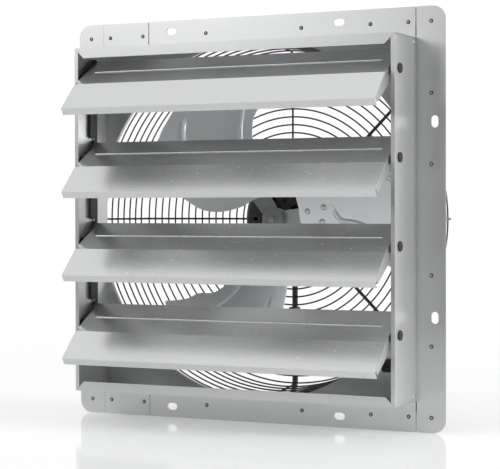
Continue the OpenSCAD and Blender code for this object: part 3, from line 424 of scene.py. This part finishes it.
# %% A tree of sizes that bakes to a mesh
class Pattern(Tree):
    """A Geometry Nodes tree whose inputs are named sizes."""

    kinds = {int: "NodeSocketInt", float: "NodeSocketFloat", bpy.types.Object: "NodeSocketObject",
             bpy.types.Material: "NodeSocketMaterial"}

    def __init__(self, name, finish, sizes):
        super().__init__(bpy.data.node_groups.new(name, "GeometryNodeTree"))
        face = self.tree.interface
        face.new_socket("Geometry", in_out="OUTPUT", socket_type="NodeSocketGeometry")
        self.values, self.finish = {}, finish
        for label, value in {**sizes, "Finish": finish}.items():
            made = face.new_socket(label, in_out="INPUT", socket_type=self.kinds[type(value)])
            self.values[made.identifier] = value
        self.entry = self.tree.nodes.new("NodeGroupInput")

    def __getitem__(self, label):
        return Wire(self, self.entry.outputs[label])

    def join(self, *shapes):
        return self.node("GeometryNodeJoinGeometry", {}, {"Geometry": list(shapes)})

    def close(self, shape):
        """Ends the tree: real meshes, smooth, in their finish."""
        real = self.node("GeometryNodeRealizeInstances", {}, {"Geometry": shape})
        smooth = self.node("GeometryNodeSetShadeSmooth", {}, {"Geometry": real})
        painted = self.node("GeometryNodeSetMaterial", {}, {"Geometry": smooth,
                                                            "Material": self["Finish"]})
        self.node("NodeGroupOutput", {}, {"Geometry": painted})

    def bake(self, name):
        """A plain mesh object at the origin with the tree's result."""
        piece = bpy.data.objects.new(name, bpy.data.meshes.new(name))
        bpy.context.scene.collection.objects.link(piece)
        modifier = piece.modifiers.new("shape", "NODES")
        modifier.node_group = self.tree
        for identifier, value in self.values.items():
            modifier[identifier] = value
        graph = bpy.context.evaluated_depsgraph_get()
        mesh = bpy.data.meshes.new_from_object(piece.evaluated_get(graph), depsgraph=graph)
        piece.modifiers.remove(modifier)
        piece.data = mesh
        return piece


print("sockets for:", sorted(kind.__name__ for kind in Pattern.kinds))

# %% Measure a baked piece
def report(piece):
    """Prints a piece's triangles and volume. A volume above 0 means that its faces point out."""
    mesh = piece.data
    mesh.calc_loop_triangles()
    corners = np.empty(len(mesh.vertices) * 3)
    mesh.vertices.foreach_get("co", corners)
    order = np.empty(len(mesh.loop_triangles) * 3, int)
    mesh.loop_triangles.foreach_get("vertices", order)
    a, b, c = corners.reshape(-1, 3)[order.reshape(-1, 3)].transpose(1, 0, 2)
    volume = np.einsum("ij,ij->i", a, np.cross(b, c)).sum() / 6
    print(piece.name, "triangles:", len(a), "volume in cm3:", round(volume * 1e6, 2))


print("a baked piece is measured by report(piece)")

# %% [markdown]
# ## The guard's hoops
#
# The cage is two families of wire hoops: the side hoops grow smaller from the panel to the rear,
# and the rear hoops lie in one plane, a centimetre apart. A hoop could be a torus for each ring.
# A circle swept by a small circle gives the same form, and one row of points can then carry a
# whole family: the row gives the depth, and the point's index gives the radius. The driving sizes
# are read from the boxes of the CAD rings that the hoops replace.

# %% Driving sizes of the guard
wire_radius, base_wire_radius = 1.0 * MM, 1.5 * MM
side_pitch, rear_pitch, edge_drop = 12.4 * MM, 10.0 * MM, 1.0 * MM
side_count, rear_count, centre_radius = 7, 14, 63.5 * MM
hoop_segments, wire_sides = 120, 8
upright = (math.tau / 4, 0, 0)

side_low, side_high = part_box("side_rings")
rear_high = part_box("rear_rings")[1]
base_radius = side_high.x - wire_radius
base_depth = side_low.y + base_wire_radius
rear_depth = rear_high.y - wire_radius
rear_radius = rear_high.x - wire_radius + edge_drop
side_slope = (base_radius - rear_radius) / (rear_depth - base_depth)
print("radius of the hoops in mm:", round(base_radius / MM, 1), "to", centre_radius / MM)

# %% One family of hoops
def hoops(tree, count, radius, radius_step, depth, depth_step, wire):
    """A row of swept circles round the fan's axis, which lies along Y."""
    row = tree.node("GeometryNodeMeshLine", {"mode": "OFFSET"}, {
        "Count": count, "Start Location": vector(tree, y=depth),
        "Offset": vector(tree, y=depth_step)})
    size = tree.node("GeometryNodeInputIndex") * radius_step + radius
    circle = tree.node("GeometryNodeCurvePrimitiveCircle", {},
                       {"Resolution": hoop_segments, "Radius": 1.0})
    placed = tree.node("GeometryNodeInstanceOnPoints", {}, {
        "Points": row, "Instance": circle, "Rotation": upright,
        "Scale": vector(tree, size, size, size)})
    real = tree.node("GeometryNodeRealizeInstances", {}, {"Geometry": placed})
    even = tree.node("GeometryNodeSetCurveRadius", {}, {"Curve": real, "Radius": 1.0})
    section = tree.node("GeometryNodeCurvePrimitiveCircle", {},
                        {"Resolution": wire_sides, "Radius": wire})
    return tree.node("GeometryNodeCurveToMesh", {}, {"Curve": even, "Profile Curve": section})


print("one hoop has", hoop_segments * wire_sides, "faces")

# %% Side hoops
side_tree = Pattern("side hoops", black_wire, {
    "Hoops": side_count, "Radius": base_radius, "Depth": base_depth, "Pitch": side_pitch,
    "Slope": side_slope, "Wire": wire_radius, "Base Wire": base_wire_radius})
narrowing = side_tree["Pitch"] * side_tree["Slope"]
side_family = hoops(side_tree, side_tree["Hoops"], side_tree["Radius"] - narrowing, 0 - narrowing,
                    side_tree["Depth"] + side_tree["Pitch"], side_tree["Pitch"], side_tree["Wire"])
base_hoop = hoops(side_tree, 1, side_tree["Radius"] + side_tree["Wire"] - side_tree["Base Wire"],
                  0.0, side_tree["Depth"], 0.0, side_tree["Base Wire"])
side_tree.close(side_tree.join(side_family, base_hoop))
side_hoops = side_tree.bake("side_hoops")
report(side_hoops)

# %% Rear hoops
rear_tree = Pattern("rear hoops", black_wire, {
    "Hoops": rear_count, "Radius": rear_radius, "Depth": rear_depth, "Pitch": rear_pitch,
    "Edge Drop": edge_drop, "Centre Radius": centre_radius, "Wire": wire_radius})
rear_family = hoops(rear_tree, rear_tree["Hoops"], rear_tree["Radius"] - rear_tree["Pitch"],
                    0 - rear_tree["Pitch"], rear_tree["Depth"], 0.0, rear_tree["Wire"])
edge_hoop = hoops(rear_tree, 1, rear_tree["Radius"] - rear_tree["Edge Drop"], 0.0,
                  rear_tree["Depth"] - rear_tree["Edge Drop"], 0.0, rear_tree["Wire"])
centre_hoop = hoops(rear_tree, 1, rear_tree["Centre Radius"], 0.0, rear_tree["Depth"], 0.0,
                    rear_tree["Wire"])
rear_tree.close(rear_tree.join(rear_family, edge_hoop, centre_hoop))
rear_hoops = rear_tree.bake("rear_hoops")
report(rear_hoops)

# %% Hang the hoops on the housing
for piece, node in ((side_hoops, "side_rings"), (rear_hoops, "rear_rings")):
    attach(piece, "housing")
    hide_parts(node)
    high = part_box(node)[1]
    reach = max(v.co.x for v in piece.data.vertices)
    print(piece.name, "is within", round(abs(reach - high.x) / MM, 3), "mm of its CAD rings")

# %% [markdown]
# ## Weld beads
#
# Each hoop is spot welded to the eight rods that cross it, which leaves a small flattened bead.
# Beads could be scattered on the crossings of the two meshes, but the crossings are known. One row
# of beads follows a rod up the side and across the rear, and eight copies of the row are turned
# round the axis. A seeded random scale makes the beads a little different, as real welds are.

# %% One row of beads
bead_radius, bead_spread, bead_flatness = 1.5 * MM, 0.22, 0.55
bead_seed, rods = 7, 8
bead_tree = Pattern("weld beads", black_wire, {
    "Bead": bead_radius, "Spread": bead_spread, "Seed": bead_seed, "Rods": rods,
    "Side Beads": side_count + 1, "Rear Beads": rear_count + 1,
    "Radius": base_radius + wire_radius, "Depth": base_depth, "Pitch": side_pitch,
    "Slope": side_slope, "Rear Radius": rear_radius, "Rear Depth": rear_depth + wire_radius,
    "Rear Pitch": rear_pitch})


def point_row(tree, count, x, y, step_x, step_y):
    """Evenly spaced points from (x, y) in the plane of one rod."""
    return tree.node("GeometryNodeMeshLine", {"mode": "OFFSET"}, {
        "Count": count, "Start Location": vector(tree, x, y),
        "Offset": vector(tree, step_x, step_y)})


side_row = point_row(bead_tree, bead_tree["Side Beads"], bead_tree["Radius"], bead_tree["Depth"],
                     0 - bead_tree["Pitch"] * bead_tree["Slope"], bead_tree["Pitch"])
rear_row = point_row(bead_tree, bead_tree["Rear Beads"], bead_tree["Rear Radius"],
                     bead_tree["Rear Depth"], 0 - bead_tree["Rear Pitch"], 0.0)
row = bead_tree.join(side_row, rear_row)
print("beads in a row:", side_count + 1 + rear_count + 1)

# %% Turned copies round the axis
def turned_copies(tree, shape, count):
    """So many copies of a shape, turned evenly round the Y axis."""
    points = tree.node("GeometryNodeMeshLine", {"mode": "OFFSET"},
                       {"Count": count, "Offset": (0, 0, 0)})
    angle = tree.node("GeometryNodeInputIndex") * math.tau / count
    return tree.node("GeometryNodeInstanceOnPoints", {}, {
        "Points": points, "Instance": shape, "Rotation": vector(tree, y=angle)})


print("turned copies stand", 360 / rods, "degrees apart on the guard")

# %% Eight turned copies of the row
bead = bead_tree.node("GeometryNodeMeshIcoSphere", {},
                      {"Radius": bead_tree["Bead"], "Subdivisions": 2})
spread = bead_tree["Spread"]
size = bead_tree.node("FunctionNodeRandomValue", {"data_type": "FLOAT"},
                      {2: 1 - spread, 3: 1 + spread, 8: bead_tree["Seed"]}, output=1)
low = size * bead_flatness
beads = bead_tree.node("GeometryNodeInstanceOnPoints", {}, {
    "Points": row, "Instance": bead, "Scale": vector(bead_tree, low, low, size)})
bead_tree.close(turned_copies(bead_tree, beads, bead_tree["Rods"]))
weld_beads = bead_tree.bake("weld_beads")
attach(weld_beads, "housing")
report(weld_beads)

# %% [markdown]
# ## Blind rivets of the flange
#
# A blind rivet shows a low head, and in its middle the bright broken end of its pin. The head is
# coloured near black, which is painted shade: it stands for the dark ring of shadow round each
# rivet. The head is a cut cone and the pin end a narrower one that stands in it. One turned profile
# could hold both, but each has its own finish, so they are two patterns on the same points: four
# sides with six rivets each, at fixed distances inside the flange's edge.

# %% Where the rivets are
def inside(inset):
    """The distance from the axis of a place so many millimetres inside the flange's edge."""
    return cad_high.x - inset * MM


rivet_line = inside(17.5)
rivet_points = [(side * rivet_line, way * place) for side in (-1, 1) for way in (-1, 1)
                for place in (inside(181.0), inside(99.5), rivet_line)]
rivet_points += [(way * place, side * rivet_line) for side in (-1, 1) for way in (-1, 1)
                 for place in (inside(181.0), inside(92.5), inside(45.5))]
print("rivets:", len(rivet_points), "first at", [round(c / MM, 1) for c in rivet_points[0]])

# %% Heads and pin ends
rivet_sides = 24


def rivet_part(name, finish, radius_back, radius_front, front, back):
    """A cut cone along Y on every rivet point, from the depth back to the depth front."""
    tree = Pattern(name, finish, {"Back Radius": radius_back, "Front Radius": radius_front,
                                  "Length": back - front, "Middle": (front + back) / 2})
    cone = tree.node("GeometryNodeMeshCone", {}, {
        "Vertices": rivet_sides, "Radius Top": tree["Front Radius"],
        "Radius Bottom": tree["Back Radius"], "Depth": tree["Length"]})
    tipped = tree.node("GeometryNodeTransform", {}, {
        "Geometry": cone, "Rotation": upright,
        "Translation": vector(tree, y=tree["Middle"] + tree["Length"] / 2)})
    tree.close(tree.join(*(
        tree.node("GeometryNodeTransform", {}, {"Geometry": tipped, "Translation": (x, 0, z)})
        for x, z in rivet_points)))
    piece = tree.bake(name)
    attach(piece, "housing")
    report(piece)


# The heads' near black is painted shade for the ring of shadow round each rivet; the pin ends keep
# the metal's own tone.
rivet_part("rivet_heads", black_steel_and_rivet_shade, radius_back=2.6 * MM, radius_front=1.9 * MM,
           front=-0.5 * MM, back=0.2 * MM)
rivet_part("rivet_pin_ends", dull_aluminium, radius_back=1.15 * MM, radius_front=1.0 * MM,
           front=-0.8 * MM, back=0.0)

# %% [markdown]
# ## Copper in the motor
#
# Through the vents the ends of the windings show as two rings of wrapped wire. A plain torus looks
# like a pipe, and a real helix of thin wire would cost a great many faces that hardly show. So the
# swept circle's radius changes along the ring: one ripple for each layer of wire and one slow
# swell for each of the twelve coils.

# %% Wound rings
coil_count, turns_per_coil, coil_radius, wire_share = 12, 9, 5.0 * MM, 0.86
points_per_turn, coil_sides = 6, 12
wind_low, wind_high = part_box("windings")
wind_tree = Pattern("wound rings", copper, {
    "Ring Radius": wind_high.x - coil_radius, "Coil Radius": coil_radius * wire_share,
    "Front": wind_low.y + coil_radius, "Rear": wind_high.y - coil_radius,
    "Coils": coil_count, "Turns": turns_per_coil, "Ripple": 0.05, "Swell": 0.10})
ring = wind_tree.node("GeometryNodeCurvePrimitiveCircle", {}, {
    "Resolution": coil_count * turns_per_coil * points_per_turn,
    "Radius": wind_tree["Ring Radius"]})
along = wind_tree.node("GeometryNodeSplineParameter", output="Factor") * math.tau
wave = along * wind_tree["Coils"]
ripple = wave.maths("COSINE", wave * wind_tree["Turns"]) * wind_tree["Ripple"]
swell = wave.maths("COSINE", wave) * wind_tree["Swell"]
lumpy = wind_tree.node("GeometryNodeSetCurveRadius", {},
                       {"Curve": ring, "Radius": 1 - ripple - swell})
section = wind_tree.node("GeometryNodeCurvePrimitiveCircle", {},
                         {"Resolution": coil_sides, "Radius": wind_tree["Coil Radius"]})
bundle = wind_tree.node("GeometryNodeCurveToMesh", {}, {"Curve": lumpy, "Profile Curve": section})
ends = [wind_tree.node("GeometryNodeTransform", {}, {
    "Geometry": bundle, "Rotation": upright, "Translation": vector(wind_tree, y=wind_tree[end])})
    for end in ("Front", "Rear")]
wind_tree.close(wind_tree.join(*ends))
wound_rings = wind_tree.bake("wound_rings")
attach(wound_rings, "housing")
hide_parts("windings")
report(wound_rings)

# %% [markdown]
# ## Ribs pressed into the blades
#
# Two pressed ribs, one beside each long edge, keep a thin blade stiff. A rib follows a path and a
# warped sheet at once. It could be carved out of a fine copy of the blade, but the blade's own
# mesh is the CAD model's and stays as it is, so the rib is a piece that lies on it. A straight bar
# is made first. Each of its corners reads how far it is along and across the path, and a ray from
# behind finds the sheet at that place. The bar's upper side is then lifted off the sheet as a low
# arch, and its underside lies hidden in the sheet's thickness.

# %% Where the ribs run
blade_low, blade_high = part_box("blade_1")
ray_start, ray_length = blade_high.y + 10 * MM, 0.2
bar_sides, bar_rows = 16, 48
front_path = (78.7, 15.6), (91.9, -24.3), (91.6, 22.1), (157.4, -36.3)
rear_path = (78.0, 50.0), (105.0, 58.0), (150.0, 62.0), (172.0, 39.0)
rib_tree = Pattern("blade ribs", blade_sheet, {
    "Blade": nodes["blade_1"], "Blades": 3, "Half Width": 3.8 * MM, "Height": 2.3 * MM,
    "Sunk": 0.2 * MM, "Sheet": 1.2 * MM, "Run Out": 0.12})
print("ribs start at", front_path[0], "and", rear_path[0], "mm on the blade's plane")

# %% A place on the path, and the sheet behind it
def on_path(tree, corners, share, shift):
    """The place at a share of a path's length, shifted sideways. The corners are in mm."""
    names = "Start", "Start Handle", "End Handle", "End"
    path = tree.node("GeometryNodeCurvePrimitiveBezierSegment", {"mode": "POSITION"},
                     {name: (x * MM, ray_start, z * MM) for name, (x, z) in zip(names, corners)})
    middle, forward = (tree.node("GeometryNodeSampleCurve", {"mode": "FACTOR"},
                                 {"Curves": path, "Factor": share}, output=name)
                       for name in ("Position", "Tangent"))
    side = tree.node("ShaderNodeVectorMath", {"operation": "CROSS_PRODUCT"},
                     {0: forward, 1: (0, 1, 0)})
    sideways = tree.node("ShaderNodeVectorMath", {"operation": "SCALE"}, {0: side, "Scale": shift})
    return tree.node("ShaderNodeVectorMath", {"operation": "ADD"}, {0: middle, 1: sideways})


def blade_back(tree, place):
    """Where a ray from a place behind the blade meets its back, and the back's normal there."""
    blade = tree.node("GeometryNodeObjectInfo", {"transform_space": "ORIGINAL"},
                      {"Object": tree["Blade"]}, output="Geometry")
    return [tree.node("GeometryNodeRaycast", {}, {
        "Target Geometry": blade, "Source Position": place, "Ray Direction": (0, -1, 0),
        "Ray Length": ray_length}, output=name) for name in ("Hit Position", "Hit Normal")]


print("rays start at a depth of", round(ray_start / MM, 1), "mm and go forward")

# %% One bar laid on the blade
def laid_bar(tree, corners):
    """A bar laid along a path: its upper half is the arch, its lower half sinks in the sheet."""
    bar = tree.node("GeometryNodeMeshCylinder", {}, {
        "Vertices": bar_sides, "Side Segments": bar_rows, "Radius": 1.0, "Depth": 1.0})
    corner = tree.node("GeometryNodeInputPosition")
    across, arch, along = (part(tree, corner, axis) for axis in "XYZ")
    share = along + 0.5
    found, normal = blade_back(tree, on_path(tree, corners, share, across * tree["Half Width"]))
    facing = part(tree, normal, "Y")
    run_out = step(tree, share, 0.0, tree["Run Out"]) * (
        1 - step(tree, share, 1 - tree["Run Out"], 1.0))
    above, below = arch.maths("MAXIMUM", arch, 0.0), arch.maths("MINIMUM", arch, 0.0)
    lift = above * above * run_out * tree["Height"] + (below - 1) * tree["Sunk"]
    depth = part(tree, found, "Y") - tree["Sheet"] / facing.maths("ABSOLUTE", facing) - lift
    return tree.node("GeometryNodeSetPosition", {}, {
        "Geometry": bar,
        "Position": vector(tree, part(tree, found, "X"), depth, part(tree, found, "Z"))})


print("a bar is laid with", bar_sides * bar_rows, "faces")

# %% Two ribs on each blade
rib_pair = rib_tree.join(laid_bar(rib_tree, front_path), laid_bar(rib_tree, rear_path))
rib_tree.close(turned_copies(rib_tree, rib_pair, rib_tree["Blades"]))
blade_ribs = rib_tree.bake("blade_ribs")
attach(blade_ribs, "fan_wheel")
report(blade_ribs)
depths = [v.co.y / MM for v in blade_ribs.data.vertices]
print("ribs from", round(min(depths), 1), "to", round(max(depths), 1), "mm deep, blade from",
      round(blade_low.y / MM, 1), "to", round(blade_high.y / MM, 1))

# %% [markdown]
# ## The floor
#
# The photograph stands the fan on a glossy pale floor that melts into a white background. A curved
# backdrop of cloth would do that in a studio. Here one flat square does, because it turns clear
# with distance, so no horizon shows. In front of the fan it turns clear sooner, since the sheet
# metal would mirror a bright floor there. A faint glow of its own keeps the contact shadow soft.

# %% Floor
floor_size, floor_z = 6.0, cad_low.z
fade_start, fade_end = 0.8, 2.6
front_end, front_start = -0.80, -0.42
floor_mesh = bpy.data.meshes.new("floor")
floor_mesh.from_pydata([(x * floor_size, y * floor_size, floor_z) for x, y in
                        ((-1, -1), (1, -1), (1, 1), (-1, 1))], [], [(0, 1, 2, 3)])
floor = bpy.data.objects.new("floor", floor_mesh)
bpy.context.scene.collection.objects.link(floor)
floor_finish, floor_tree = start_finish("floor")
haze = noise(floor_tree, evenly(3))
pale = mix(floor_tree, haze, grey(0.88, 0.01), grey(0.92, 0.01))
spot = floor_tree.node("ShaderNodeTexCoord", output="Object")
distance = floor_tree.node("ShaderNodeVectorMath", {"operation": "LENGTH"}, {0: spot},
                           output="Value")
near = 1 - step(floor_tree, distance, fade_start, fade_end)
there = near * step(floor_tree, part(floor_tree, spot, "Y"), front_end, front_start)
close_finish(floor_tree, {"Base Color": pale, "Roughness": haze * 0.03 + 0.06, "Alpha": there},
             {"Metallic": 0.0, "IOR": 1.4, "Specular IOR Level": 0.04,
              "Emission Color": grey(1.0), "Emission Strength": 0.20})
floor.data.materials.append(floor_finish)
print("floor at z in mm:", round(floor_z / MM, 1))

# %% [markdown]
# ## Surroundings
#
# Sheet metal shows what stands round it. White cards and black flags could be set up as objects,
# but here one sphere of light does their work, and its brightness depends on direction alone. It
# is white behind, so that the gaps in the guard glow, white overhead, which the louvres' lower
# facets mirror, and dark grey in front, so that the shutter's planes differ. What is seen past
# the fan is plain white from every side.

# %% Sphere of light
front_grey, sky_strength, zenith_gain = 0.14, 1.03, 0.12
overhead_from, overhead_back = (0.60, 0.85), (0.14, 0.38)
behind_from, behind_top = (-0.20, 0.25), (0.20, 0.45)
world = bpy.data.worlds.new("studio")
world.use_nodes = True
world.node_tree.nodes.clear()
bpy.context.scene.world = world
sky = Tree(world.node_tree)
way = sky.node("ShaderNodeTexCoord", output="Generated")
ahead, upward = part(sky, way, "Y"), part(sky, way, "Z")
zenith = step(sky, upward, *overhead_from) * (1 - step(sky, ahead, *overhead_back))
backdrop = step(sky, ahead, *behind_from) * (1 - step(sky, upward, *behind_top))
white = zenith + backdrop - zenith * backdrop
seen = sky.node("ShaderNodeLightPath", output="Is Camera Ray")
lit = mix(sky, white, grey(front_grey), grey(1.0))
shine = sky.node("ShaderNodeBackground", {}, {"Color": mix(sky, seen, lit, grey(1.0)),
                                              "Strength": zenith * zenith_gain + sky_strength})
sky.node("ShaderNodeOutputWorld", {}, {"Surface": shine})
bpy.context.scene.view_settings.view_transform = "Standard"
print("surroundings: white behind and overhead, grey", front_grey, "in front")

# %% [markdown]
# ## Lamps
#
# In the photograph the top strip of the flange is bright while the right and lower strips lie in
# the box's shade, so the main lamp stands at the upper left in front. A sun lamp would draw hard
# edges. A square lamp over a metre wide gives the soft ones that the photograph has. A second
# lamp at the right, a little behind the flange, lights the box's right wall and nothing in front.

# %% Two soft lamps
def lamp(name, place, size, watts):
    """A square soft lamp at a place, turned to the fan's middle."""
    data = bpy.data.lights.new(name, "AREA")
    data.size, data.energy = size, watts
    made = bpy.data.objects.new(name, data)
    bpy.context.scene.collection.objects.link(made)
    made.location = place
    made.rotation_euler = (-Vector(place)).to_track_quat("-Z", "Y").to_euler()
    return made


main_lamp = lamp("main", (-1.10, -1.70, 1.05), size=1.4, watts=13)
side_lamp = lamp("side", (2.4, 0.25, 0.7), size=0.7, watts=28)
print("lamps stand", round(main_lamp.location.length, 2), "m and",
      round(side_lamp.location.length, 2), "m away")
